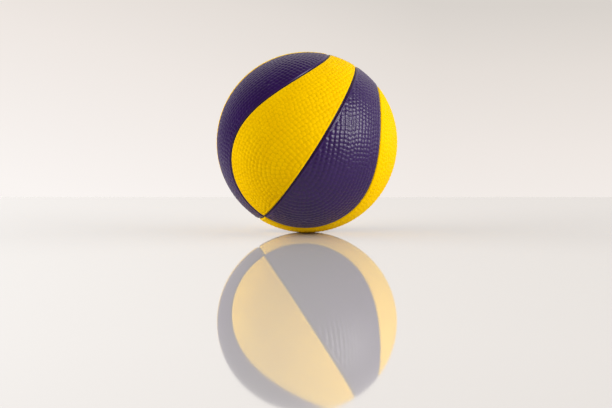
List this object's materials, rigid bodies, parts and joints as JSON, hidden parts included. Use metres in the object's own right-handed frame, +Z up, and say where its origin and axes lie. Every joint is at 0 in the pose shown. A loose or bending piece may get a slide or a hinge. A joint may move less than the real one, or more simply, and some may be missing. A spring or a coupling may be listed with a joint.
{
  "type": "mini basketball",
  "caption": "Small inflatable rubber basketball with yellow and purple pebbled panels, dark recessed channels and a needle valve, lying at rest on a floor.",
  "frame": {"origin": "centre of the ball", "axes": "+Z up from the floor the ball lies on, +X to the right and +Y away from the viewer as the ball is pictured"},
  "size_m": [0.1294, 0.1294, 0.1294],
  "materials": {
    "yellow_panel": "satin pebbled",
    "purple_panel": "satin pebbled",
    "channel_rubber": "smooth satin",
    "carcass_rubber": "matte",
    "thread": "wound nylon",
    "bladder_rubber": "smooth",
    "valve_rubber": "smooth"
  },
  "bodies": {
    "root": {"face_panel_front_left": "yellow_panel", "face_panel_front_right": "purple_panel", "face_panel_back_left": "purple_panel", "face_panel_back_right": "yellow_panel", "side_panel_left_front": "purple_panel", "side_panel_left_back": "yellow_panel", "side_panel_right_front": "yellow_panel", "side_panel_right_back": "purple_panel", "straight_strip": "channel_rubber", "cross_strip_left": "channel_rubber", "cross_strip_right": "channel_rubber", "curved_strip_front_left": "channel_rubber", "curved_strip_front_right": "channel_rubber", "curved_strip_back_left": "channel_rubber", "curved_strip_back_right": "channel_rubber", "carcass_front": "carcass_rubber", "carcass_back": "carcass_rubber", "thread_winding": "thread", "valve_patch": "carcass_rubber", "bladder": "bladder_rubber", "valve_housing": "valve_rubber", "valve_plug": "valve_rubber"}
  },
  "joints": []
}
